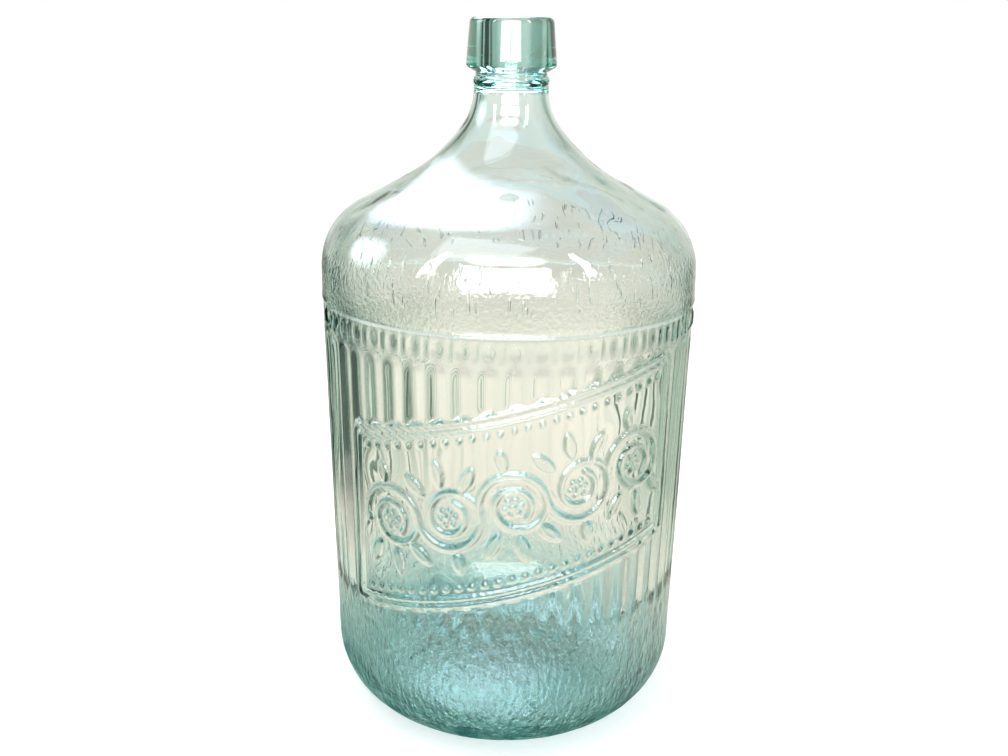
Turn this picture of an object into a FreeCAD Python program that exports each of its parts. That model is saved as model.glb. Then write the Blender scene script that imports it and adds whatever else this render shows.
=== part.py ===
import FreeCAD, Part
import math
import os

# A five gallon glass demijohn, blown in a mould as one piece. Sizes are in millimetres and
# angles in degrees. It stands on z = 0 with its axis on Z, and its panel faces -Y.

# The whole bottle. Its body is widest at the seam and tapers from there down to the heel
overall_height = 507.0
body_radius = 134.2
body_taper = 1.0
wall_thickness = 4.8

# Base and heel
heel_radius = 52.0
inner_heel_radius = 44.0
floor_thickness = 9.5
foot_width = 6.0
foot_bevel = 2.5
push_up_height = 12.0
push_up_thickness = 10.0

# Shoulder, which runs into the neck as a convex arc, a straight slope and two hollow arcs
shoulder_radius = 50.0
shoulder_slope = 28.0
sweep_radius = 133.0
throat_slope = 53.0
throat_radius = 40.0

# Neck, with a small ring and a groove under the collar
neck_radius = 26.0
neck_length = 16.0
ring_proud = 0.7
ring_width = 5.0
ring_drop = 9.0
groove_depth = 1.2

# Collar and mouth
collar_height = 32.0
collar_radius = 31.4
collar_top_radius = 29.0
collar_bevel_height = 4.0
lip_round = 4.0
mouth_radius = 16.0
mouth_round = 1.5
bore_length = 40.0

# Mould seam round the top of the body
seam_drop = 19.4
seam_width = 1.8
seam_proud = 0.9

# Flutes, cut into the tapered wall, which lies a little behind the glass over the seam
flute_count = 50
flute_width = 13.4
flute_depth = 1.8
flute_bottom = 105.0
zone_recess = 0.3
band_height = 21.0

# Front panel, which takes the place of some flutes and rises to the right
panel_flutes = 15
panel_tilt = 14.0
panel_top_margin = 27.0
panel_bottom_margin = 31.5
panel_recess = 0.5
panel_corner = 7.0
rib_width = 2.6
rib_spacing = 5.2
rib_gap = 1.6

# Relief, raised as far as this over the fluted zone
relief_height = 1.3
relief_root = 1.6
stamp_reach = 30.0

# Lozenges and bars in the band between the flutes and the seam
band_flutes = 20
lozenge_height = 11.0
lozenge_width = 7.6
bar_width = 2.6

# Running vine in the panel, with a flower in each curl and leaves on both sides
vine_bays = 5
vine_pitch = 45.0
stem_width = 4.4
bud_radius = 3.4
curl_radius = 12.0
curl_width = 3.6
curl_turn = 235.0
berry_radius = 2.6
petal_ring = 5.4
petal_radius = 1.8
petal_count = 6
leaf_length = 20.0
leaf_width = 8.0
leaf_spread = 38.0
leaf_stalk = 21.0
crest_leaf_length = 15.0
crest_leaf_gap = 3.0

# Beads in a row along the top and the foot of the panel
bead_radius = 2.0
bead_count = 25
bead_pitch = 9.0
bead_inset = 14.0


def at(r, z):
    return FreeCAD.Vector(r, 0, z)


def polar(centre, radius, angle):
    turn = math.radians(angle)
    return centre + at(radius * math.cos(turn), radius * math.sin(turn))


def line(start, end):
    return Part.LineSegment(start, end).toShape()


def arc(centre, radius, start, end):
    middle = polar(centre, radius, (start + end) / 2)
    return Part.Arc(polar(centre, radius, start), middle, polar(centre, radius, end)).toShape()


def arc_through(start, middle, end):
    return Part.Arc(start, middle, end).toShape()


def revolve(edges):
    face = Part.Face(Part.Wire(Part.__sortEdges__(edges)))
    return face.revolve(FreeCAD.Vector(0, 0, 0), FreeCAD.Vector(0, 0, 1), 360)


def slope_normal(slope):
    turn = math.radians(slope)
    return at(math.sin(turn), math.cos(turn))


# Heights and centres that follow from the sizes
collar_bottom = overall_height - collar_height
throat_top = collar_bottom - neck_length
throat_centre = at(neck_radius + throat_radius, throat_top)
throat_foot = throat_centre - slope_normal(throat_slope) * throat_radius
sweep_centre = throat_foot + slope_normal(throat_slope) * sweep_radius
sweep_foot = sweep_centre - slope_normal(shoulder_slope) * sweep_radius
shoulder_reach = body_radius - shoulder_radius * (1 - math.sin(math.radians(shoulder_slope)))
slope_drop = (shoulder_reach - sweep_foot.x) * math.tan(math.radians(shoulder_slope))
shoulder_crest = at(shoulder_reach, sweep_foot.z - slope_drop)
shoulder_centre = shoulder_crest - slope_normal(shoulder_slope) * shoulder_radius
seam_height = shoulder_centre.z - seam_drop
flute_top = seam_height - band_height
zone_radius = body_radius - zone_recess
flute_pitch = 360 / flute_count
panel_half_angle = panel_flutes * flute_pitch / 2
panel_half_height = (flute_top - panel_top_margin - flute_bottom - panel_bottom_margin) / 2
panel_height = flute_bottom + panel_bottom_margin + panel_half_height


# A point on the tapered wall, or as far behind it as the inset
def wall_at(z, inset=0):
    narrowing = (seam_height - z) * math.tan(math.radians(body_taper))
    return at(zone_radius - narrowing - inset / math.cos(math.radians(body_taper)), z)


# Centre of a heel that runs smoothly into that wall and touches down at the floor height
def heel_centre(radius, inset, floor):
    middle = floor + radius
    return at(wall_at(middle, inset).x - radius / math.cos(math.radians(body_taper)), middle)


panel_radius = wall_at(panel_height).x


def shoulder_edges(inset):
    slope_start = shoulder_crest - slope_normal(shoulder_slope) * inset
    slope_end = sweep_foot - slope_normal(shoulder_slope) * inset
    return [
        arc(shoulder_centre, shoulder_radius - inset, 0, 90 - shoulder_slope),
        line(slope_start, slope_end),
        arc(sweep_centre, sweep_radius + inset, 270 - shoulder_slope, 270 - throat_slope),
        arc(throat_centre, throat_radius + inset, 270 - throat_slope, 180),
    ]


def dome(crown_height, edge):
    drop = crown_height - edge.z
    radius = (edge.x ** 2 + drop ** 2) / (2 * drop)
    reach = math.degrees(math.asin(edge.x / radius))
    return arc(at(0, crown_height - radius), radius, 90, 90 - reach)


def foot_edges():
    centre = heel_centre(heel_radius, 0, 0)
    foot_inside = centre.x - foot_width
    edge = at(foot_inside - foot_bevel, foot_bevel)
    return [
        dome(push_up_height, edge),
        line(edge, at(foot_inside, 0)),
        line(at(foot_inside, 0), at(centre.x, 0)),
        arc(centre, heel_radius, -90, -body_taper),
    ]


def side_edges():
    heel_top = polar(heel_centre(heel_radius, 0, 0), heel_radius, -body_taper)
    seam_low = wall_at(seam_height - seam_width / 2)
    seam_high = at(body_radius, seam_height + seam_width / 2)
    crest = at(body_radius + seam_proud, seam_height)
    return [
        line(heel_top, seam_low),
        arc_through(seam_low, crest, seam_high),
        line(seam_high, at(body_radius, shoulder_centre.z)),
    ]


def neck_edges():
    ring_height = collar_bottom - ring_drop
    ring_low = at(neck_radius, ring_height - ring_width / 2)
    ring_crest = at(neck_radius + ring_proud, ring_height)
    ring_high = at(neck_radius - groove_depth, ring_height + ring_width / 2)
    groove_top = at(ring_high.x, collar_bottom - collar_bevel_height)
    collar_edge = at(collar_radius, collar_bottom)
    lip_start = at(collar_top_radius, overall_height - lip_round)
    lip_centre = at(collar_top_radius - lip_round, overall_height - lip_round)
    lip_end = at(lip_centre.x, overall_height)
    return [
        line(at(neck_radius, throat_top), ring_low),
        arc_through(ring_low, ring_crest, ring_high),
        line(ring_high, groove_top),
        line(groove_top, collar_edge),
        line(collar_edge, lip_start),
        arc(lip_centre, lip_round, 0, 90),
        line(lip_end, at(0, overall_height)),
    ]


def outside():
    edges = foot_edges() + side_edges() + shoulder_edges(0) + neck_edges()
    edges.append(line(at(0, overall_height), at(0, push_up_height)))
    return revolve(edges)


def cavity():
    inner_radius = body_radius - wall_thickness
    inner_wall = wall_thickness - zone_recess
    centre = heel_centre(inner_heel_radius, inner_wall, floor_thickness)
    widest = wall_at(seam_height, inner_wall)
    floor_crown = push_up_height + push_up_thickness
    throat = at(neck_radius - wall_thickness, throat_top)
    bore_foot = at(mouth_radius, overall_height - bore_length)
    bore_top = at(mouth_radius, overall_height)
    edges = [
        dome(floor_crown, at(centre.x, floor_thickness)),
        arc(centre, inner_heel_radius, -90, -body_taper),
        line(polar(centre, inner_heel_radius, -body_taper), widest),
        line(widest, at(inner_radius, shoulder_centre.z)),
    ]
    edges += shoulder_edges(wall_thickness)
    edges += [
        line(throat, bore_foot),
        line(bore_foot, bore_top),
        line(bore_top, at(0, overall_height)),
        line(at(0, overall_height), at(0, floor_crown)),
    ]
    return revolve(edges)


def blank():
    glass = outside().cut(cavity())
    rim = [
        edge for edge in glass.Edges
        if abs(edge.BoundBox.ZMin - overall_height) < 0.01
        and abs(edge.BoundBox.XMax - mouth_radius) < 0.01
    ]
    return glass.makeFillet(mouth_round, rim)


def wall_cone(offset):
    low = wall_at(heel_radius, -offset)
    high = wall_at(shoulder_centre.z, -offset)
    return Part.makeCone(low.x, high.x, high.z - low.z, at(0, low.z))


def wall_ring(inner_offset, outer_offset):
    return wall_cone(outer_offset).cut(wall_cone(inner_offset))


# Layer of the wall that all relief is pressed into
relief_ring = wall_ring(-relief_root, relief_height)


# Front panel: a slanted field with two ribs round it, both set in from the outline
def panel_block(inset):
    side = math.radians(panel_half_angle) - inset / panel_radius
    half_width = panel_radius * math.sin(side)
    half_height = panel_half_height - inset
    rise = half_width * math.tan(math.radians(panel_tilt))
    corners = [
        FreeCAD.Vector(-half_width, 0, panel_height - half_height - rise),
        FreeCAD.Vector(half_width, 0, panel_height - half_height + rise),
        FreeCAD.Vector(half_width, 0, panel_height + half_height + rise),
        FreeCAD.Vector(-half_width, 0, panel_height + half_height - rise),
    ]
    face = Part.Face(Part.makePolygon(corners + corners[:1]))
    block = face.extrude(FreeCAD.Vector(0, -2 * body_radius, 0))
    upright = [edge for edge in block.Edges if edge.BoundBox.YLength > body_radius]
    return block.makeFillet(panel_corner, upright)


def panel_ribs():
    ribs = []
    for inset in (0, rib_spacing):
        ribs.append(panel_block(inset).cut(panel_block(inset + rib_width)))
    return [rib.common(relief_ring) for rib in ribs]


def panel_recess_cut():
    ring = wall_ring(-panel_recess, flute_width)
    return panel_block(rib_spacing + rib_width / 2).common(ring)


# Flutes: shallow round channels with arched ends, trimmed where the panel takes their place
def flute_cutter():
    half = flute_width / 2
    radius = (half ** 2 + flute_depth ** 2) / (2 * flute_depth)
    low = at(0, flute_bottom + half)
    high = at(0, flute_top - half)
    edges = [
        arc(low, radius, -90, 0),
        line(polar(low, radius, 0), polar(high, radius, 0)),
        arc(high, radius, 0, 90),
        line(polar(high, radius, 90), polar(low, radius, -90)),
    ]
    cutter = revolve(edges)
    cutter.translate(FreeCAD.Vector(0, flute_depth - zone_radius - radius, 0))
    cutter.rotate(FreeCAD.Vector(0, -zone_radius, seam_height), FreeCAD.Vector(1, 0, 0), body_taper)
    return cutter


def turned(shape, angle):
    copy = shape.copy()
    copy.rotate(FreeCAD.Vector(0, 0, 0), FreeCAD.Vector(0, 0, 1), angle)
    return copy


def flute_cutters():
    cutter = flute_cutter()
    field = panel_block(-rib_gap)
    cutters = []
    for number in range(flute_count):
        angle = (number - panel_flutes // 2) * flute_pitch
        flute = turned(cutter, angle)
        cutters += flute.cut(field).Solids if number < panel_flutes else [flute]
    return cutters


# Relief pieces are drawn flat, with x to the right and z up, then pressed onto the wall
def stamp(face, along, height):
    piece = face.extrude(FreeCAD.Vector(0, -stamp_reach, 0))
    piece.translate(FreeCAD.Vector(0, stamp_reach / 2 - zone_radius, height))
    return turned(piece, math.degrees(along / panel_radius)).common(relief_ring)


def disc(radius, centre):
    circle = Part.Circle(centre, FreeCAD.Vector(0, 1, 0), radius)
    return Part.Face(Part.Wire(circle.toShape()))


def lozenge():
    half_width = lozenge_width / 2
    half_height = lozenge_height / 2
    return Part.Face(Part.makePolygon([
        at(half_width, 0), at(0, half_height), at(-half_width, 0), at(0, -half_height), at(half_width, 0),
    ]))


def bar():
    half_width = bar_width / 2
    straight = lozenge_height / 2 - half_width
    return Part.Face(Part.Wire([
        line(at(half_width, -straight), at(half_width, straight)),
        arc(at(0, straight), half_width, 0, 180),
        line(at(-half_width, straight), at(-half_width, -straight)),
        arc(at(0, -straight), half_width, 180, 360),
    ]))


def bow(centre, radius, width, start, end):
    outer = radius + width / 2
    inner = radius - width / 2
    return Part.Face(Part.Wire([
        arc(centre, outer, start, end),
        line(polar(centre, outer, end), polar(centre, inner, end)),
        arc(centre, inner, end, start),
        line(polar(centre, inner, start), polar(centre, outer, start)),
    ]))


def leaf(stalk, length, angle):
    middle = stalk + length / 2
    face = Part.Face(Part.Wire([
        arc_through(at(stalk, 0), at(middle, leaf_width / 2), at(stalk + length, 0)),
        arc_through(at(stalk + length, 0), at(middle, -leaf_width / 2), at(stalk, 0)),
    ]))
    face.rotate(FreeCAD.Vector(0, 0, 0), FreeCAD.Vector(0, -1, 0), angle)
    return face


def midline(along):
    x = panel_radius * math.sin(along / panel_radius)
    return panel_height + x * math.tan(math.radians(panel_tilt))


def slant(along):
    rise = math.tan(math.radians(panel_tilt)) * math.cos(along / panel_radius)
    return math.degrees(math.atan(rise))


# One bay of the vine: the stem bows up where side is 1 and down where it is -1
def vine_bay(side):
    stem_radius = vine_pitch / 2
    branch_radius = (stem_radius + curl_radius) / 2
    faces = [
        bow(at(0, 0), stem_radius, stem_width, 0, side * 180),
        bow(at(stem_radius - branch_radius, 0), branch_radius, curl_width, 0, side * -180),
        bow(at(0, 0), curl_radius, curl_width, side * 180, side * (180 - curl_turn)),
        disc(berry_radius, at(0, 0)),
        leaf(stem_radius + crest_leaf_gap, crest_leaf_length, side * 90),
    ]
    for number in range(petal_count):
        faces.append(disc(petal_radius, polar(at(0, 0), petal_ring, number * 360 / petal_count)))
    for turn in (-leaf_spread, 0, leaf_spread):
        faces.append(leaf(leaf_stalk, leaf_length, turn - side * 90))
    return faces


def vine():
    pieces = []
    spacing = vine_pitch * math.cos(math.radians(panel_tilt))
    for number in range(vine_bays):
        along = (number - (vine_bays - 1) / 2) * spacing
        side = 1 if number % 2 == 0 else -1
        for face in vine_bay(side):
            face.rotate(FreeCAD.Vector(0, 0, 0), FreeCAD.Vector(0, -1, 0), slant(along))
            pieces.append(stamp(face, along, midline(along)))
    for along in (-vine_bays * spacing / 2, vine_bays * spacing / 2):
        pieces.append(stamp(disc(bud_radius, at(0, 0)), along, midline(along)))
    return pieces


def bead_rows():
    pieces = []
    for number in range(bead_count):
        along = (number - (bead_count - 1) / 2) * bead_pitch
        for offset in (bead_inset - panel_half_height, panel_half_height - bead_inset):
            pieces.append(stamp(disc(bead_radius, at(0, 0)), along, midline(along) + offset))
    return pieces


def band_row():
    height = (flute_top + seam_height) / 2
    pieces = []
    for number in range(band_flutes + 1):
        turn = math.radians((number - band_flutes / 2) * flute_pitch)
        pieces.append(stamp(lozenge(), turn * panel_radius, height))
        if number < band_flutes:
            half_pitch = math.radians(flute_pitch / 2)
            pieces.append(stamp(bar(), (turn + half_pitch) * panel_radius, height))
    return pieces


def demijohn():
    glass = blank().cut(flute_cutters())
    glass = glass.cut(panel_recess_cut())
    glass = glass.fuse(panel_ribs() + vine() + bead_rows() + band_row())
    return glass.removeSplitter()


bottle = demijohn()
print("solids", len(bottle.Solids), "valid", bottle.isValid(), "volume", round(bottle.Volume / 1000), "cm3")
print("capacity to the brim", round(cavity().Volume / 1e6, 2), "litres")
os.makedirs("parts", exist_ok=True)
bottle.exportStep("parts/bottle.step")
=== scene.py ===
import math

import bmesh
import bpy
from mathutils import Matrix, Vector, noise


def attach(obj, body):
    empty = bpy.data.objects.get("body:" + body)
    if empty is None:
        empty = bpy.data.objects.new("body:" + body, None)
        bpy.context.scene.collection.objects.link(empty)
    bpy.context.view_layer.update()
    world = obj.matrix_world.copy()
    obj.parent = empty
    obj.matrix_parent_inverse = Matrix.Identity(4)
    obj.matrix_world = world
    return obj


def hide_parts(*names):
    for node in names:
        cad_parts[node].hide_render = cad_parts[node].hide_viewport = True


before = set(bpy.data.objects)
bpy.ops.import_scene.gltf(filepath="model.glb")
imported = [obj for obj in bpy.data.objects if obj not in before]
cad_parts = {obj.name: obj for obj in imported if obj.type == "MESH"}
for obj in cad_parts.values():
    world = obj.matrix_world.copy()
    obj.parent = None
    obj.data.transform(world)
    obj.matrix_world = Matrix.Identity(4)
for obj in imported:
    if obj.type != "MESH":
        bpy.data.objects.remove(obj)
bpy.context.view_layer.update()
print("frame loaded")

# Sizes are in millimetres until the mesh is finished, angles in degrees. The bottle stands
# on z = 0 with its axis on Z. An angle along the wall is 0 at the front, plus to the right.

bottle = {
    "height": 507.0,
    "radius": 134.2,
    "taper": 1.0,            # the body narrows from its seam down to the heel
    "wall": 4.8,
    "heelRadius": 52.0,
    "innerHeelRadius": 44.0,
    "floorThickness": 9.5,
    "footWidth": 6.0,
    "footBevel": 2.5,
    "footSoft": (0.6, 0.35),  # how far the ring's inner corner is cut off, across and up
    "pushUp": 12.0,
    "pushUpThickness": 10.0,
    "shoulderRadius": 50.0,
    "shoulderSlope": 28.0,
    "sweepRadius": 133.0,
    "throatSlope": 53.0,
    "throatRadius": 40.0,
    "neckRadius": 26.0,
    "neckLength": 16.0,
    "ringProud": 0.7,
    "ringWidth": 5.0,
    "ringDrop": 9.0,
    "ringShape": ((-1.2, 0.8), (0, 1), (1.3, 0.3)),  # heights on it, and how proud it is there
    "grooveDepth": 1.2,
    "collarHeight": 32.0,
    "collarRadius": 31.4,
    "collarTopRadius": 29.0,
    "collarBevel": 4.0,
    "lipRound": 4.0,
    "mouthRadius": 16.0,
    "mouthRound": 1.5,
    "boreLength": 40.0,
    "seamDrop": 19.4,
    "seamWidth": 1.8,
    "seamCrest": 0.8,
    "seamProud": 0.315,      # the ridge of the solid, worn down by fire polish
    "seamWave": 0.9,
    "outerWave": 0.28,       # how far the outside wanders from true
    "outerWaveSize": 34.0,
    "innerWave": 0.55,       # the inside was never touched by the mould and wanders more
    "innerWaveSize": 30.0,
    "columns": 400,
    "neckColumns": 160,
    "innerColumns": 100,
    "rowPitch": 2.7,
}

flutes = {
    "count": 50,
    "width": 13.4,
    "depth": 1.8,
    "bottom": 105.0,
    "zoneRecess": 0.3,
    "bandHeight": 21.0,
}

panel = {
    "flutes": 15,            # how many flutes it takes the place of
    "tilt": 14.0,
    "topMargin": 27.0,
    "bottomMargin": 31.5,
    "recess": 0.5,
    "corner": 7.0,
    "ribWidth": 2.6,
    "ribSpacing": 5.2,
    "ribGap": 1.6,
    "relief": 1.3,
    "crown": 0.18,           # how much lower a raised form is at its sides, as a share
    "softEdge": 0.8,         # how far a raised edge melts into the wall
}

vine = {
    "bays": 5,
    "pitch": 45.0,
    "stemWidth": 4.4,
    "budRadius": 3.4,
    "curlRadius": 12.0,
    "curlWidth": 3.6,
    "curlTurn": 235.0,
    "berryRadius": 2.6,
    "petalRing": 5.4,
    "petalRadius": 1.8,
    "petalCount": 6,
    "leafLength": 20.0,
    "leafWidth": 8.0,
    "leafSpread": 38.0,
    "leafStalk": 21.0,
    "veinWidth": 0.9,
    "veinDepth": 0.25,       # a share of the leaf's height
    "crestLeafLength": 15.0,
    "crestLeafGap": 3.0,
    "beadRadius": 2.0,
    "beadCount": 25,
    "beadPitch": 9.0,
    "beadInset": 14.0,
}

band = {
    "flutes": 20,
    "lozengeHeight": 11.0,
    "lozengeWidth": 7.6,
    "barWidth": 2.6,
}


def at(x, z):
    return Vector((x, 0, z))


def slopeNormal(slope):
    return at(math.sin(math.radians(slope)), math.cos(math.radians(slope)))


# Places that follow from the sizes
collarBottom = bottle["height"] - bottle["collarHeight"]
throatTop = collarBottom - bottle["neckLength"]
throatCentre = at(bottle["neckRadius"] + bottle["throatRadius"], throatTop)
throatFoot = throatCentre - slopeNormal(bottle["throatSlope"]) * bottle["throatRadius"]
sweepCentre = throatFoot + slopeNormal(bottle["throatSlope"]) * bottle["sweepRadius"]
sweepFoot = sweepCentre - slopeNormal(bottle["shoulderSlope"]) * bottle["sweepRadius"]
shoulderReach = bottle["radius"] - bottle["shoulderRadius"] * (
    1 - math.sin(math.radians(bottle["shoulderSlope"])))
slopeDrop = (shoulderReach - sweepFoot.x) * math.tan(math.radians(bottle["shoulderSlope"]))
shoulderCrest = at(shoulderReach, sweepFoot.z - slopeDrop)
slopeStep = (sweepFoot - shoulderCrest) / 11  # one row of faces on the slope
shoulderCentre = shoulderCrest - slopeNormal(bottle["shoulderSlope"]) * bottle["shoulderRadius"]
lipFoot = bottle["height"] - bottle["mouthRound"]
boreTop = lipFoot - 2.5
seamHeight = shoulderCentre.z - bottle["seamDrop"]
fluteTop = seamHeight - flutes["bandHeight"]
zoneRadius = bottle["radius"] - flutes["zoneRecess"]
flutePitch = 360 / flutes["count"]
panelHalfAngle = panel["flutes"] * flutePitch / 2
panelHalfHeight = (fluteTop - panel["topMargin"] - flutes["bottom"] - panel["bottomMargin"]) / 2
panelHeight = flutes["bottom"] + panel["bottomMargin"] + panelHalfHeight


def wallAt(z, inset=0):  # a point on the tapered wall, or as far behind it as the inset
    taper = math.radians(bottle["taper"])
    return at(zoneRadius - (seamHeight - z) * math.tan(taper) - inset / math.cos(taper), z)


def heelCentre(radius, inset, floor):  # of a heel that runs smoothly into that wall
    middle = floor + radius
    return at(wallAt(middle, inset).x - radius / math.cos(math.radians(bottle["taper"])), middle)


panelRadius = wallAt(panelHeight).x


# A pen that draws the profile in the XZ plane, one extruded vertex after another
def lineTo(bm, vert, end, steps):
    step = (end - vert.co) / steps
    for number in range(steps):
        vert = bmesh.ops.extrude_vert_indiv(bm, verts=[vert])["verts"][0]
        bmesh.ops.translate(bm, verts=[vert], vec=step)
    return vert


def arcTo(bm, vert, centre, turn, steps):  # turn is plus anticlockwise, seen from the front
    made = bmesh.ops.spin(bm, geom=[vert], cent=centre, axis=(0, 1, 0), dvec=(0, 0, 0),
                          angle=-math.radians(turn), steps=steps, use_duplicate=False)
    return [part for part in made["geom_last"] if isinstance(part, bmesh.types.BMVert)][0]


def domeTo(bm, vert, end, steps):  # an arc about a centre on the axis
    rise = end.z - vert.co.z
    centreHeight = (end.z + vert.co.z) / 2 + (end.x ** 2 - vert.co.x ** 2) / (2 * rise)
    centre = at(0, centreHeight)
    start = math.atan2(vert.co.z - centreHeight, vert.co.x)
    stop = math.atan2(end.z - centreHeight, end.x)
    return arcTo(bm, vert, centre, math.degrees(stop - start), steps)


def spinWire(bm, verts, columns):
    edges = list({edge for vert in verts for edge in vert.link_edges})
    bmesh.ops.spin(bm, geom=verts + edges, cent=(0, 0, 0), axis=(0, 0, 1), dvec=(0, 0, 0),
                   angle=math.radians(360), steps=columns, use_merge=True, use_duplicate=False)


def outerWire(bm):
    b = bottle
    centre = heelCentre(b["heelRadius"], 0, 0)
    footInside = centre.x - b["footWidth"]
    softAcross, softUp = b["footSoft"]
    low = flutes["bottom"] - 4  # even rows from here to the seam carry the relief
    seamLow = wallAt(seamHeight - b["seamWidth"] / 2)
    seamHigh = seamHeight + b["seamWidth"] / 2
    vert = bmesh.ops.create_vert(bm, co=at(0, b["pushUp"]))["vert"][0]
    vert = domeTo(bm, vert, at(footInside - b["footBevel"], b["footBevel"]), 9)
    vert = lineTo(bm, vert, at(footInside - softAcross, softUp), 1)
    vert = lineTo(bm, vert, at(footInside + softAcross, 0), 1)
    vert = lineTo(bm, vert, at(centre.x, 0), 2)
    vert = arcTo(bm, vert, centre, 90 - b["taper"], 21)
    vert = lineTo(bm, vert, wallAt(low), 12)
    vert = lineTo(bm, vert, seamLow, round((seamLow.z - low) / b["rowPitch"]))
    vert = lineTo(bm, vert, at(b["radius"] + b["seamProud"], seamHeight - b["seamCrest"] / 2), 1)
    vert = lineTo(bm, vert, at(b["radius"] + b["seamProud"], seamHeight + b["seamCrest"] / 2), 2)
    vert = lineTo(bm, vert, at(b["radius"], seamHigh), 1)
    vert = lineTo(bm, vert, shoulderCentre + at(b["shoulderRadius"], 0), 7)
    vert = arcTo(bm, vert, shoulderCentre, 90 - b["shoulderSlope"], 20)
    return vert


def neckWire(bm):
    b = bottle
    ringHeight = collarBottom - b["ringDrop"]
    grooveRadius = b["neckRadius"] - b["grooveDepth"]
    vert = bmesh.ops.create_vert(bm, co=shoulderCrest + slopeStep)["vert"][0]
    vert = lineTo(bm, vert, sweepFoot, 10)
    vert = arcTo(bm, vert, sweepCentre, b["shoulderSlope"] - b["throatSlope"], 14)
    vert = arcTo(bm, vert, throatCentre, b["throatSlope"] - 90, 10)
    vert = lineTo(bm, vert, at(b["neckRadius"], ringHeight - b["ringWidth"] / 2), 3)
    for height, share in b["ringShape"]:
        vert = lineTo(bm, vert, at(b["neckRadius"] + b["ringProud"] * share, ringHeight + height), 1)
    vert = lineTo(bm, vert, at(grooveRadius, ringHeight + b["ringWidth"] / 2), 2)
    vert = lineTo(bm, vert, at(grooveRadius, collarBottom - b["collarBevel"]), 2)
    # The bevel under the collar, with its two ends softened
    vert = lineTo(bm, vert, at(grooveRadius + 1.2, collarBottom - b["collarBevel"] + 0.5), 1)
    vert = lineTo(bm, vert, at(b["collarRadius"] - 1, collarBottom - 0.8), 3)
    vert = lineTo(bm, vert, at(b["collarRadius"], collarBottom + 0.6), 2)
    vert = lineTo(bm, vert, at(b["collarTopRadius"], b["height"] - b["lipRound"]), 8)
    lipCentre = at(b["collarTopRadius"] - b["lipRound"], b["height"] - b["lipRound"])
    vert = arcTo(bm, vert, lipCentre, 90, 6)
    vert = lineTo(bm, vert, at(b["mouthRadius"] + b["mouthRound"], b["height"]), 3)
    vert = arcTo(bm, vert, at(vert.co.x, vert.co.z - b["mouthRound"]), 90, 4)
    return vert


def innerWire(bm):
    b = bottle
    innerWall = b["wall"] - flutes["zoneRecess"]
    centre = heelCentre(b["innerHeelRadius"], innerWall, b["floorThickness"])
    boreFoot = at(b["mouthRadius"], b["height"] - b["boreLength"])
    inset = slopeNormal(b["shoulderSlope"]) * b["wall"]
    vert = bmesh.ops.create_vert(bm, co=at(b["mouthRadius"], boreTop))["vert"][0]
    vert = lineTo(bm, vert, boreFoot, 9)
    vert = lineTo(bm, vert, at(b["neckRadius"] - b["wall"], throatTop), 3)
    vert = arcTo(bm, vert, throatCentre, 90 - b["throatSlope"], 8)
    vert = arcTo(bm, vert, sweepCentre, b["throatSlope"] - b["shoulderSlope"], 8)
    vert = lineTo(bm, vert, shoulderCrest - inset, 4)
    vert = arcTo(bm, vert, shoulderCentre, b["shoulderSlope"] - 90, 8)
    vert = lineTo(bm, vert, wallAt(seamHeight, innerWall), 3)
    vert = lineTo(bm, vert, wallAt(centre.z, innerWall), 28)
    vert = arcTo(bm, vert, centre, b["taper"] - 90, 9)
    vert = domeTo(bm, vert, at(0, b["pushUp"] + b["pushUpThickness"]), 8)
    return vert


def loopNear(bm, radius, height):  # the open ring of edges at this radius and height
    ring = []
    for edge in bm.edges:
        if edge.is_boundary:
            middle = (edge.verts[0].co + edge.verts[1].co) / 2
            if abs(math.hypot(middle.x, middle.y) - radius) < 1 and abs(middle.z - height) < 0.1:
                ring.append(edge)
    return ring


def wallAngle(co):
    return math.degrees(math.atan2(co.x, -co.y))


def alignColumns(bm):  # two of the eight columns of each flute go to its land, six cross it
    step = 360 / bottle["columns"]
    for vert in bm.verts:
        radius = math.hypot(vert.co.x, vert.co.y)
        if radius < 0.01:
            continue
        angle = wallAngle(vert.co) + flutePitch / 2
        number = math.floor(angle / flutePitch + 0.001)
        within = round((angle - number * flutePitch) / step)
        wall = wallAt(min(fluteTop, max(flutes["bottom"], vert.co.z))).x
        land = flutePitch - math.degrees(flutes["width"] / wall)
        moved = 0 if within == 0 else land / 2 + (within - 1) * (flutePitch - land) / 6
        turn = math.radians(number * flutePitch + moved - flutePitch / 2)
        vert.co.x = radius * math.sin(turn)
        vert.co.y = -radius * math.cos(turn)


def midline(angle):
    rise = math.tan(math.radians(panel["tilt"]))
    return panelHeight + panelRadius * math.sin(math.radians(angle)) * rise


def panelInset(angle, height):  # distance in from the panel's rounded outline, minus outside it
    if abs(angle) > 80:  # far from the panel
        return -100
    # The outline is upright, seen from the front, though the wall is tapered
    sine = wallAt(min(height, seamHeight)).x / panelRadius * math.sin(math.radians(angle))
    seenAngle = math.degrees(math.asin(max(-1, min(1, sine))))
    side = math.radians(panelHalfAngle - abs(seenAngle)) * panelRadius
    end = panelHalfHeight - abs(height - midline(seenAngle))
    corner = panel["corner"]
    if side < corner and end < corner:
        return corner - math.hypot(corner - side, corner - end)
    return min(side, end)


def smooth(value):
    value = min(1, max(0, value))
    return value * value * (3 - 2 * value)


def raised(distance, halfWidth):  # 1 on the crest of a raised line, 0 beside it
    edge = panel["softEdge"]
    crown = 1 - panel["crown"] * min(1, max(0, distance / halfWidth)) ** 2
    return crown * smooth((halfWidth + edge / 2 - distance) / edge)


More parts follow.
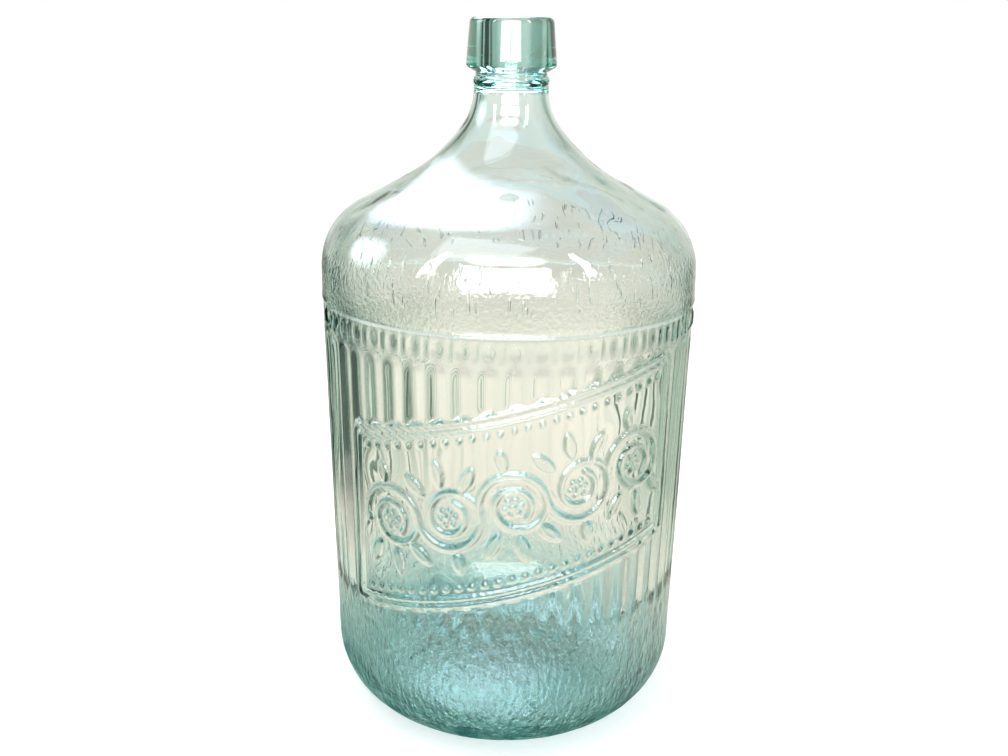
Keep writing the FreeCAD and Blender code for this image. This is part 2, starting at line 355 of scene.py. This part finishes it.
def fluteCut(angle, height):
    half = flutes["width"] / 2
    radius = (half ** 2 + flutes["depth"] ** 2) / (2 * flutes["depth"])
    within = angle - round(angle / flutePitch) * flutePitch
    across = math.radians(within) * wallAt(height).x
    low = flutes["bottom"] + half
    high = fluteTop - half
    along = max(low - height, height - high, 0)
    distance = math.hypot(across, along)
    if distance >= half:
        return 0
    return math.sqrt(radius ** 2 - distance ** 2) - (radius - flutes["depth"])


def turnBack(x, y, angle):  # where a point is in a frame that is turned by angle
    cosine = math.cos(math.radians(angle))
    sine = math.sin(math.radians(angle))
    return x * cosine + y * sine, y * cosine - x * sine


def onBow(x, y, centre, radius, width, start, end):
    away = x - centre
    turn = math.degrees(math.atan2(y, away))
    low, high = min(start, end), max(start, end)
    while turn < low:
        turn += 360
    if turn <= high:
        return raised(abs(math.hypot(away, y) - radius), width / 2)
    ends = [math.radians(low), math.radians(high)]
    tips = [(centre + radius * math.cos(end), radius * math.sin(end)) for end in ends]
    return max(raised(math.hypot(x - tipX, y - tipY), width / 2) for tipX, tipY in tips)


def onLeaf(x, y, stalk, length, angle):
    along, across = turnBack(x, y, angle)
    half = length / 2
    radius = (half ** 2 + (vine["leafWidth"] / 2) ** 2) / vine["leafWidth"]
    offset = radius - vine["leafWidth"] / 2
    distance = math.hypot(along - stalk - half, abs(across) + offset) - radius
    edge = panel["softEdge"]
    vein = vine["veinDepth"] * smooth(1 - abs(across) / vine["veinWidth"])
    return smooth((edge / 2 - distance) / edge) * (1 - vein)


def onBay(x, y, side):
    stem = vine["pitch"] / 2
    if abs(x) > stem + 3 or abs(y) > vine["leafStalk"] + vine["leafLength"] + 2:
        return 0
    if abs(y) < 0.001:
        y = 0.001
    branch = (stem + vine["curlRadius"]) / 2
    curlEnd = 180 - vine["curlTurn"]
    up = y * side
    shapes = [
        onBow(x, up, 0, stem, vine["stemWidth"], 0, 180),
        onBow(x, up, stem - branch, branch, vine["curlWidth"], -180, 0),
        onBow(x, up, 0, vine["curlRadius"], vine["curlWidth"], curlEnd, 180),
        raised(math.hypot(x, y), vine["berryRadius"]),
        onLeaf(x, up, stem + vine["crestLeafGap"], vine["crestLeafLength"], 90),
    ]
    if math.hypot(x, y) < vine["petalRing"] + vine["petalRadius"] + 1:
        for number in range(vine["petalCount"]):
            turn = math.radians(number * 360 / vine["petalCount"])
            petalX = vine["petalRing"] * math.cos(turn)
            petalY = vine["petalRing"] * math.sin(turn)
            shapes.append(raised(math.hypot(x - petalX, y - petalY), vine["petalRadius"]))
    if up < -vine["leafStalk"] / 2:
        for turn in (-vine["leafSpread"], 0, vine["leafSpread"]):
            shapes.append(onLeaf(x, up, vine["leafStalk"], vine["leafLength"], turn - 90))
    return max(shapes)


def onPanel(angle, height):
    along = math.radians(angle) * panelRadius
    above = height - midline(angle)
    spacing = vine["pitch"] * math.cos(math.radians(panel["tilt"]))
    highest = 0
    for number in range(vine["bays"]):
        centre = (number - (vine["bays"] - 1) / 2) * spacing
        if abs(along - centre) < spacing:
            centreAngle = math.degrees(centre / panelRadius)
            rise = math.tan(math.radians(panel["tilt"]))
            slant = math.atan(rise * math.cos(math.radians(centreAngle)))
            x, y = turnBack(along - centre, height - midline(centreAngle), math.degrees(slant))
            highest = max(highest, onBay(x, y, 1 if number % 2 == 0 else -1))
    bead = round(along / vine["beadPitch"])
    if abs(bead) <= (vine["beadCount"] - 1) / 2:
        aside = along - bead * vine["beadPitch"]
        away = abs(above) - panelHalfHeight + vine["beadInset"]
        highest = max(highest, raised(math.hypot(aside, away), vine["beadRadius"]))
    for end in (-1, 1):
        aside = along - end * vine["bays"] * spacing / 2
        highest = max(highest, raised(math.hypot(aside, above), vine["budRadius"]))
    return highest


def onBand(angle, height):
    reach = band["flutes"] / 2 * flutePitch + 2
    above = height - (fluteTop + seamHeight) / 2
    if abs(angle) > reach or abs(above) > band["lozengeHeight"]:
        return 0
    number = round(angle / flutePitch)
    aside = math.radians(angle - number * flutePitch) * panelRadius
    halfWidth = band["lozengeWidth"] / 2
    halfHeight = band["lozengeHeight"] / 2
    slant = math.hypot(halfWidth, halfHeight)
    distance = (abs(aside) * halfHeight + abs(above) * halfWidth - halfWidth * halfHeight) / slant
    edge = panel["softEdge"]
    highest = smooth((edge / 2 - distance) / edge)
    middle = (math.floor(angle / flutePitch) + 0.5) * flutePitch
    aside = math.radians(angle - middle) * panelRadius
    beyond = max(0, abs(above) - halfHeight + band["barWidth"] / 2)
    return max(highest, raised(math.hypot(aside, beyond), band["barWidth"] / 2))


def reliefAt(angle, height):
    if height < flutes["bottom"] - 1 or height > seamHeight:
        return 0
    inset = panelInset(angle, height)
    if inset < -panel["ribGap"]:
        return panel["relief"] * onBand(angle, height) - fluteCut(angle, height)
    ribs = 0
    for start in (0, panel["ribSpacing"]):
        half = panel["ribWidth"] / 2
        ribs = max(ribs, raised(abs(inset - start - half), half))
    fieldInset = inset - panel["ribSpacing"] - panel["ribWidth"]
    sunk = panel["recess"] * smooth(fieldInset / panel["softEdge"])
    raisedBy = max(ribs, onPanel(angle, height) if sunk > 0 else 0)
    return raisedBy * (panel["relief"] + sunk) - sunk


def wander(co, size, seed):  # slow, blown unevenness, longer up the wall than across it
    place = Vector((co.x / size, co.y / size, co.z / (size * 1.6) + seed))
    return noise.noise(place) + 0.5 * noise.noise(place * 2.3)


def shapeGlass(bm, skin):  # the foot and the collar stay true, the rest wanders
    bm.normal_update()
    for vert in bm.verts:
        co = vert.co
        angle = wallAngle(co)
        fade = smooth((co.z - 6) / 20)
        if vert[skin] > 0.5:
            if abs(co.z - seamHeight) < 7:  # the seam runs a little up and down
                turn = Vector((math.sin(math.radians(angle)), math.cos(math.radians(angle)), 0)) * 2.2
                near = smooth(1.4 - abs(co.z - seamHeight) / 5)
                co.z += bottle["seamWave"] * noise.noise(turn) * near
            fade *= smooth((collarBottom - 20 - co.z) / 30)
            wave = bottle["outerWave"] * wander(co, bottle["outerWaveSize"], 0) * fade
            move = reliefAt(angle, co.z) + wave
        else:
            fade *= smooth((collarBottom - 10 - co.z) / 40)
            move = bottle["innerWave"] * wander(co, bottle["innerWaveSize"], 7) * fade
        vert.co = co + vert.normal * move


def buildBottle():
    bm = bmesh.new()
    skin = bm.verts.layers.float.new("outerSkin")
    outerWire(bm)
    spinWire(bm, list(bm.verts), bottle["columns"])
    bmesh.ops.remove_doubles(bm, verts=bm.verts, dist=0.001)
    alignColumns(bm)
    print("outside spun:", len(bm.faces), "faces")

    plainRows = []  # three rows of four go where the flutes run straight
    low = flutes["bottom"] + flutes["width"]
    high = fluteTop - flutes["width"]
    for edge in bm.edges:
        first, second = edge.verts
        level = abs(first.co.z - second.co.z) < 0.01
        angle = abs(wallAngle((first.co + second.co) / 2))
        row = round((first.co.z - low) / bottle["rowPitch"])
        if level and angle > panelHalfAngle + 4 and low < first.co.z < high and row % 4:
            plainRows.append(edge)
    bmesh.ops.dissolve_edges(bm, edges=plainRows, use_verts=True, use_face_split=False)

    fine = []  # and rows and columns are doubled in the panel
    for edge in bm.edges:
        inside = [panelInset(wallAngle(vert.co), vert.co.z) > -3 for vert in edge.verts]
        if all(inside) and min(vert.co.z for vert in edge.verts) > flutes["bottom"]:
            fine.append(edge)
    bmesh.ops.subdivide_edges(bm, edges=fine, cuts=1, use_grid_fill=True)
    for vert in bm.verts:
        if vert.co.z > flutes["bottom"] and vert.co.z < seamHeight - 1:
            spread = wallAt(vert.co.z).x / math.hypot(vert.co.x, vert.co.y)
            vert.co.x *= spread
            vert.co.y *= spread
    print("panel made finer:", len(bm.faces), "faces")

    old = set(bm.verts)
    neckWire(bm)
    spinWire(bm, [vert for vert in bm.verts if vert not in old], bottle["neckColumns"])
    for vert in bm.verts:
        vert[skin] = 1
    old = set(bm.verts)
    innerWire(bm)
    spinWire(bm, [vert for vert in bm.verts if vert not in old], bottle["innerColumns"])
    bmesh.ops.remove_doubles(bm, verts=bm.verts, dist=0.001)

    bore = bottle["mouthRadius"]
    for ends in ((shoulderCrest, shoulderCrest + slopeStep), (at(bore, lipFoot), at(bore, boreTop))):
        bmesh.ops.bridge_loops(bm, edges=[edge for end in ends for edge in loopNear(bm, end.x, end.z)])
    bmesh.ops.recalc_face_normals(bm, faces=bm.faces)
    shapeGlass(bm, skin)
    print("glass shaped:", len(bm.faces), "faces,", round(bm.calc_volume(signed=True) / 1000), "cm3")

    bmesh.ops.scale(bm, vec=(0.001, 0.001, 0.001), verts=bm.verts)
    for face in bm.faces:
        face.smooth = True
    mesh = bpy.data.meshes.new("demijohnGlass")
    bm.to_mesh(mesh)
    bm.free()
    glass = bpy.data.objects.new("demijohnGlass", mesh)
    bpy.context.scene.collection.objects.link(glass)
    return glass


def linear(hexColour):
    channels = [int(hexColour[start:start + 2], 16) / 255 for start in (1, 3, 5)]
    return [c / 12.92 if c <= 0.04045 else ((c + 0.055) / 1.055) ** 2.4 for c in channels] + [1]


def addNode(tree, kind, inputs=None, **settings):
    node = tree.nodes.new(kind)
    for name, value in settings.items():
        setattr(node, name, value)
    for socket, value in (inputs or {}).items():
        if isinstance(value, bpy.types.NodeSocket):
            tree.links.new(value, node.inputs[socket])
        else:
            node.inputs[socket].default_value = value
    return node


def newMaterial(name):
    material = bpy.data.materials.new(name)
    material.use_nodes = True
    material.node_tree.nodes.clear()
    return material, material.node_tree


glassLook = {
    "ior": 1.52,
    "roughness": 0.0,
    "tint": "#8CD3CA",
    "density": 38.0,         # per metre
    # The rest is in mm: how wide, long and deep the marks of the mould are, and then
    # from what height to what height they lie, and over how much more they fade out.
    # A cover has no unit: the higher it is, the less of the glass has that mark.
    "stipple": 1.5,
    "stippleDepth": 0.45,
    "stippleZones": ((322, 350, 10), (2, 50, 30)),
    "icicle": (3.0, 13.0),
    "icicleCover": (0.62, 0.72),
    "icicleDepth": 0.6,
    "icicleZone": (336, 358, 7),
    "bark": (4.5, 9.0),
    "barkCover": (0.4, 0.7),
    "barkDepth": 0.5,
    "barkZone": (14, 108, 12),
    "pebble": 4.2,
    "pebbleDepth": 1.2,
    "pebbleZone": (-1, 22, 10),
}


# Aqua bottle glass, blown in an iron mould: clear and sharp, green only in the depth, with a
# grainy, runny skin where the hot glass met the cold mould
def aquaGlass():
    material, tree = newMaterial("aquaBottleGlassMouldBlown")
    look = glassLook
    place = addNode(tree, "ShaderNodeTexCoord").outputs["Object"]
    height = addNode(tree, "ShaderNodeSeparateXYZ", {0: place}).outputs["Z"]
    skin = addNode(tree, "ShaderNodeAttribute", attribute_name="outerSkin").outputs["Fac"]

    def maths(operation, first, second):
        return addNode(tree, "ShaderNodeMath", {0: first, 1: second}, operation=operation).outputs[0]

    def vectors(operation, first, second):
        return addNode(tree, "ShaderNodeVectorMath", {0: first, 1: second},
                       operation=operation).outputs[0]

    def between(value, low, high, start=0, end=1):
        return addNode(tree, "ShaderNodeMapRange", {0: value, 1: low, 2: high, 3: start, 4: end},
                       interpolation_type="SMOOTHSTEP").outputs[0]

    def zone(low, high, soft):  # 1 between the heights, 0 beyond the fade
        rise = between(height, (low - soft) / 1000, low / 1000)
        return maths("MULTIPLY", rise, between(height, high / 1000, (high + soft) / 1000, 1, 0))

    # Marks run up the glass, so they are laid out on a cylinder and not in space
    level = vectors("NORMALIZE", vectors("MULTIPLY", place, (1, 1, 0)), (0, 0, 0))
    around = vectors("MULTIPLY", level, (bottle["radius"] / 1000,) * 3)
    wall = vectors("ADD", around, vectors("MULTIPLY", place, (0, 0, 1)))

    def marks(size, detail, low, high):  # a mark grows where the noise goes from low to high
        scale = (1000 / size[0], 1000 / size[0], 1000 / size[1])
        texture = addNode(tree, "ShaderNodeTexNoise",
                          {"Vector": vectors("MULTIPLY", wall, scale), "Scale": 1, "Detail": detail})
        return between(texture.outputs[0], low, high)

    def grains(size, detail):  # a blob of the noise is about half as wide as its scale says
        return addNode(tree, "ShaderNodeTexNoise",
                       {"Vector": place, "Scale": 500 / size, "Detail": detail}).outputs[0]

    shoulder, foot = look["stippleZones"]
    stippled = maths("ADD", zone(*shoulder), zone(*foot))
    stipple = maths("MULTIPLY", grains(look["stipple"], 1), stippled)
    icicles = marks(look["icicle"], 1, *look["icicleCover"])
    icicles = maths("MULTIPLY", icicles, zone(*look["icicleZone"]))
    bark = maths("MULTIPLY", marks(look["bark"], 3, *look["barkCover"]), zone(*look["barkZone"]))
    pebbles = maths("MULTIPLY", grains(look["pebble"], 2), zone(*look["pebbleZone"]))

    deep = maths("MULTIPLY", stipple, look["stippleDepth"] / 1000)
    deep = maths("ADD", deep, maths("MULTIPLY", icicles, look["icicleDepth"] / 1000))
    deep = maths("ADD", deep, maths("MULTIPLY", bark, look["barkDepth"] / 1000))
    deep = maths("MULTIPLY", deep, skin)  # these are outside only, the pebbles in the floor too
    deep = maths("ADD", deep, maths("MULTIPLY", pebbles, look["pebbleDepth"] / 1000))
    bump = addNode(tree, "ShaderNodeBump", {"Height": deep, "Strength": 1.0, "Distance": 1.0})
    shader = addNode(tree, "ShaderNodeBsdfPrincipled", {
        "Base Color": (1, 1, 1, 1), "Roughness": look["roughness"], "IOR": look["ior"],
        "Transmission Weight": 1.0, "Normal": bump.outputs[0],
    })
    depth = addNode(tree, "ShaderNodeVolumeAbsorption",
                    {"Color": linear(look["tint"]), "Density": look["density"]})
    addNode(tree, "ShaderNodeOutputMaterial",
            {"Surface": shader.outputs[0], "Volume": depth.outputs[0]})
    return material


studio = {
    "floorColour": "#E8E8E6",
    "floorSize": 8.0,
    "floorGlow": 0.5,        # lifts the paper to white where the camera or the glass shows it
    "world": 0.9,
    "bounces": 28,           # light crosses the glass many times
    "glossyBounces": 8,
    "lampsAim": 0.3,         # height of the point that the lamps face
    "shadeCentre": (-0.03, 0, 0),
    "paintedFlagsFrom": 0.28,       # how far off on the paper the painted flags begin to show, and show fully
    "paintedFlagsFull": 0.55,
    "paintedFlagsFade": 0.5,        # how far up the room they begin to fade, and are gone
    "paintedFlagsGone": 0.75,
    "causticSize": 6.667,    # mm
    "causticReach": 0.12,    # how far off the patches begin to fade, and are gone
    "causticEnd": 0.2,
}

# What only the glass sees: the paper by how far off it is in metres, with a painted green-tinted shadow
# under the bottle and painted light that dims further out, and the room by how far up it looks
paperShadeSeen = [
    (0.0, "#98BDB4"), (0.09, "#94B9AF"), (0.135, "#86A99E"), (0.2, "#ACBAAF"),
    (0.34, "#DDCDBE"), (0.8, "#E3D7C8"), (1.4, "#CFC4B8"), (3.0, "#D9CEC5"),
]
roomSeen = [
    (0.0, "#FFFEF8"), (0.3, "#E4E0D6"), (0.55, "#C4C0B8"), (0.62, "#86B4DC"), (0.72, "#86B4DC"),
    (0.83, "#A9A8A4"), (0.95, "#7FB0E0"),
]

# Dark green flags, painted as dark strips into the room's light and as painted shade on the paper where
# nothing stands, sharpen the edges of the glass: turn in degrees, tone
paintedFlagsSeen = [
    (0, "#B4BDBA"), (18, "#B4BDBA"), (30, "#FFFFFF"), (62, "#FFFFFF"), (74, "#C4D4CE"),
    (140, "#AFC4BD"), (158, "#FFFFFF"), (190, "#FFFFFF"), (196, "#C0D2CB"), (206, "#C0D2CB"),
    (209, "#0A3A36"), (219, "#0A3A36"), (222, "#D5E9E2"), (229, "#D5E9E2"), (232, "#0A3A36"),
    (258, "#0A3A36"), (262, "#D5E9E2"), (286, "#FFFFFF"), (297, "#5F7F7A"), (350, "#B4BDBA"),
]

# Painted patches of light and shade, as the glass would throw them on the paper, by the share of a
# cloudy pattern
causticsSeen = [(0.39, "#3F7C8C"), (0.47, "#A0C6C2"), (0.54, "#FFFFFF"), (0.7, "#FFFFFF")]

# Lamps round the bottle: turn from the front and height in degrees, the rest in metres. A lamp
# that stands above softAbove has a soft rim, and only one with matt on lights the paper.
lamps = {
    "windowPane": {
        "turns": (-18, 9), "lifts": (15, 34, 52), "away": 2.2, "size": (0.95, 0.62),
        "strength": 15.0, "colour": "#FFFFFF", "softAbove": 40, "matt": False,
    },
    "strip": {
        "turns": (-54, 50), "lifts": (38,), "away": 2.2, "size": (0.16, 1.3),
        "strength": 20.0, "colour": "#FFFFFF", "softAbove": 90, "matt": False,
    },
    "sky": {
        "turns": (-166,), "lifts": (50,), "away": 2.0, "size": (2.0, 2.2),
        "strength": 11.0, "colour": "#DCEDFF", "softAbove": 0, "matt": False,
    },
    "sideWindow": {
        "turns": (-104,), "lifts": (25,), "away": 2.2, "size": (1.4, 1.4),
        "strength": 6.0, "colour": "#E6F4FF", "softAbove": 0, "matt": False,
    },
    "overhead": {
        "turns": (-35,), "lifts": (66,), "away": 2.0, "size": (1.4, 1.2),
        "strength": 3.0, "colour": "#EAF3FF", "softAbove": 90, "matt": True,
    },
}

cameraView = {
    "lens": 39.76,
    "sensor": 36,
    "away": 0.7947,          # from the axis, in metres
    "height": 0.5003,
    "side": -2.2,            # degrees round from the front
    "pan": 0.167,
    "down": 17.49,
    "roll": 0.76,
}


def rampOf(tree, value, stops, reach):  # stops are a place and the colour there
    node = addNode(tree, "ShaderNodeValToRGB", {0: value})
    ramp = node.color_ramp
    while len(ramp.elements) < len(stops):
        ramp.elements.new(0.5)
    for element, (position, tone) in zip(ramp.elements, stops):
        element.position = position / reach
        element.color = linear(tone)
    return node.outputs[0]


def paintedFlags(tree, way):  # painted dark flag strips by turn round the bottle; way is a place or a direction, and the turn starts at the front
    parts = addNode(tree, "ShaderNodeSeparateXYZ", {0: way})
    mirrored = addNode(tree, "ShaderNodeMath", {0: parts.outputs["X"], 1: -1}, operation="MULTIPLY")
    turn = addNode(tree, "ShaderNodeMath", {0: mirrored.outputs[0], 1: parts.outputs["Y"]},
                   operation="ARCTAN2")
    share = addNode(tree, "ShaderNodeMapRange", {0: turn.outputs[0], 1: -math.pi, 2: math.pi})
    return rampOf(tree, share.outputs[0], paintedFlagsSeen, 360)


def times(tree, colour, other, amount):
    node = addNode(tree, "ShaderNodeMix", {0: amount, 6: colour, 7: other},
                   data_type="RGBA", blend_type="MULTIPLY")
    return node.outputs[2]


def seenBy(tree):  # seen by the camera itself, off or through the glass, and through it alone
    path = addNode(tree, "ShaderNodeLightPath")
    through = path.outputs["Is Transmission Ray"]
    bent = addNode(tree, "ShaderNodeMath", {0: path.outputs["Is Glossy Ray"], 1: through},
                   operation="MAXIMUM")
    return path.outputs["Is Camera Ray"], bent.outputs[0], through


# Matt pale paper under the bottle; the glass sees it with painted shade, painted flags and painted
# caustics
def paperFloor():
    material, tree = newMaterial("mattPaper")
    camera, bent, _ = seenBy(tree)
    place = addNode(tree, "ShaderNodeTexCoord").outputs["Object"]
    reach = studio["floorSize"] / 2
    away = addNode(tree, "ShaderNodeVectorMath", {0: place, 1: studio["shadeCentre"]},
                   operation="DISTANCE").outputs["Value"]
    share = addNode(tree, "ShaderNodeMath", {0: away, 1: reach}, operation="DIVIDE")
    # painted shade: dark flag strips on the paper, shown only to the glass and only further off
    far = addNode(tree, "ShaderNodeMapRange", {0: away, 1: studio["paintedFlagsFrom"], 2: studio["paintedFlagsFull"]})
    paintedFlagShare = addNode(tree, "ShaderNodeMath", {0: far.outputs[0], 1: bent}, operation="MULTIPLY")
    # painted shade: a green-tinted shadow under the bottle and dimmer paper further out, shown only to
    # the glass
    paperShadeTones = rampOf(tree, share.outputs[0], paperShadeSeen, reach)
    seen = times(tree, paperShadeTones, paintedFlags(tree, place), paintedFlagShare.outputs[0])
    # painted caustics: patches of light and shade on the paper near the bottle, shown only to the glass
    clouds = addNode(tree, "ShaderNodeTexNoise", {
        "Vector": place, "Scale": 500 / studio["causticSize"], "Detail": 4, "Distortion": 1.4,
    })
    caustics = rampOf(tree, clouds.outputs[0], causticsSeen, 1.0)
    under = addNode(tree, "ShaderNodeMapRange",
                    {0: away, 1: studio["causticReach"], 2: studio["causticEnd"], 3: 1, 4: 0})
    seen = times(tree, seen, caustics, under.outputs[0])
    colour = addNode(tree, "ShaderNodeMix", {0: bent, 6: linear(studio["floorColour"]), 7: seen},
                     data_type="RGBA")
    shown = addNode(tree, "ShaderNodeMath", {0: camera, 1: bent}, operation="MAXIMUM")
    glow = addNode(tree, "ShaderNodeMath", {0: shown.outputs[0], 1: studio["floorGlow"]},
                   operation="MULTIPLY")
    paper = addNode(tree, "ShaderNodeBsdfDiffuse", {"Color": colour.outputs[2]})
    light = addNode(tree, "ShaderNodeEmission",
                    {"Color": colour.outputs[2], "Strength": glow.outputs[0]})
    shader = addNode(tree, "ShaderNodeAddShader", {0: paper.outputs[0], 1: light.outputs[0]})
    addNode(tree, "ShaderNodeOutputMaterial", {"Surface": shader.outputs[0]})
    return material


def buildFloor():
    bm = bmesh.new()
    bmesh.ops.create_circle(bm, cap_ends=True, segments=64, radius=studio["floorSize"] / 2)
    mesh = bpy.data.meshes.new("floor")
    bm.to_mesh(mesh)
    bm.free()
    floor = bpy.data.objects.new("floor", mesh)
    mesh.materials.append(paperFloor())
    bpy.context.scene.collection.objects.link(floor)


# A white room, which the glass sees toned, darker overhead and with painted flags round it
def buildWorld():
    world = bpy.data.worlds.new("studio")
    bpy.context.scene.world = world
    world.use_nodes = True
    tree = world.node_tree
    tree.nodes.clear()
    camera, bent, through = seenBy(tree)
    way = addNode(tree, "ShaderNodeTexCoord").outputs["Generated"]
    up = addNode(tree, "ShaderNodeSeparateXYZ", {0: way}).outputs["Z"]
    low = addNode(tree, "ShaderNodeMapRange",
                  {0: up, 1: studio["paintedFlagsFade"], 2: studio["paintedFlagsGone"], 3: 1, 4: 0})
    paintedFlagShare = addNode(tree, "ShaderNodeMath", {0: low.outputs[0], 1: through}, operation="MULTIPLY")
    seen = times(tree, rampOf(tree, up, roomSeen, 1.0), paintedFlags(tree, way), paintedFlagShare.outputs[0])
    plain = addNode(tree, "ShaderNodeBackground", {"Color": (1, 1, 1, 1), "Strength": 1.0})
    soft = addNode(tree, "ShaderNodeBackground", {"Color": (1, 1, 1, 1), "Strength": studio["world"]})
    shown = addNode(tree, "ShaderNodeBackground", {"Color": seen, "Strength": 1.0})
    mixed = addNode(tree, "ShaderNodeMixShader", {0: bent, 1: soft.outputs[0], 2: shown.outputs[0]})
    final = addNode(tree, "ShaderNodeMixShader", {0: camera, 1: mixed.outputs[0], 2: plain.outputs[0]})
    addNode(tree, "ShaderNodeOutputWorld", {"Surface": final.outputs[0]})


def addLamp(name, turn, lift, look):
    width, height = look["size"]
    lamp = bpy.data.lights.new(name, "AREA")
    lamp.shape = "RECTANGLE"
    lamp.size = width
    lamp.size_y = height
    lamp.energy = look["strength"] * math.pi * width * height
    lamp.color = linear(look["colour"])[:3]
    thing = bpy.data.objects.new(name, lamp)
    side = math.radians(turn)
    rise = math.radians(lift)
    away = Vector((math.sin(side) * math.cos(rise), -math.cos(side) * math.cos(rise), math.sin(rise)))
    thing.location = away * look["away"] + Vector((0, 0, studio["lampsAim"]))
    thing.rotation_euler = away.to_track_quat("Z", "Y").to_euler()
    thing.visible_camera = False
    thing.visible_diffuse = look["matt"]
    bpy.context.scene.collection.objects.link(thing)
    if lift > look["softAbove"]:
        softenLamp(lamp)


def softenLamp(lamp):  # bright in the middle and dark at the rim
    lamp.use_nodes = True
    tree = lamp.node_tree
    tree.nodes.clear()
    spot = addNode(tree, "ShaderNodeNewGeometry").outputs["Parametric"]
    away = addNode(tree, "ShaderNodeVectorMath", {0: spot, 1: (0.5, 0.5, 0)},
                   operation="DISTANCE").outputs["Value"]
    fade = addNode(tree, "ShaderNodeMapRange", {0: away, 1: 0.2, 2: 0.5, 3: 1, 4: 0},
                   interpolation_type="SMOOTHSTEP")
    light = addNode(tree, "ShaderNodeEmission", {"Strength": fade.outputs[0]})
    addNode(tree, "ShaderNodeOutputLight", {"Surface": light.outputs[0]})


def buildLights():
    for name, look in lamps.items():
        for turn in look["turns"]:
            for lift in look["lifts"]:
                addLamp(name, turn, lift, look)


def buildCamera():
    view = cameraView
    camera = bpy.data.objects.new("camera", bpy.data.cameras.new("camera"))
    camera.data.lens = view["lens"]
    camera.data.sensor_width = view["sensor"]
    camera.data.clip_end = 50
    side = math.radians(view["side"])
    place = Vector((math.sin(side), -math.cos(side), 0)) * view["away"] + Vector((0, 0, view["height"]))
    camera.matrix_world = (
        Matrix.Translation(place)
        @ Matrix.Rotation(math.radians(view["side"] + view["pan"]), 4, "Z")
        @ Matrix.Rotation(math.radians(90 - view["down"]), 4, "X")
        @ Matrix.Rotation(math.radians(view["roll"]), 4, "Z"))
    bpy.context.scene.collection.objects.link(camera)
    bpy.context.scene.camera = camera


buildCamera()
glass = buildBottle()
glass.data.materials.append(aquaGlass())
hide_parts("bottle")
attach(glass, "root")
print("bottle finished")

buildFloor()
buildWorld()
buildLights()
bpy.context.scene.view_settings.view_transform = "Standard"
bpy.context.scene.cycles.max_bounces = studio["bounces"]
bpy.context.scene.cycles.transmission_bounces = studio["bounces"]
bpy.context.scene.cycles.glossy_bounces = studio["glossyBounces"]
print("stage finished")
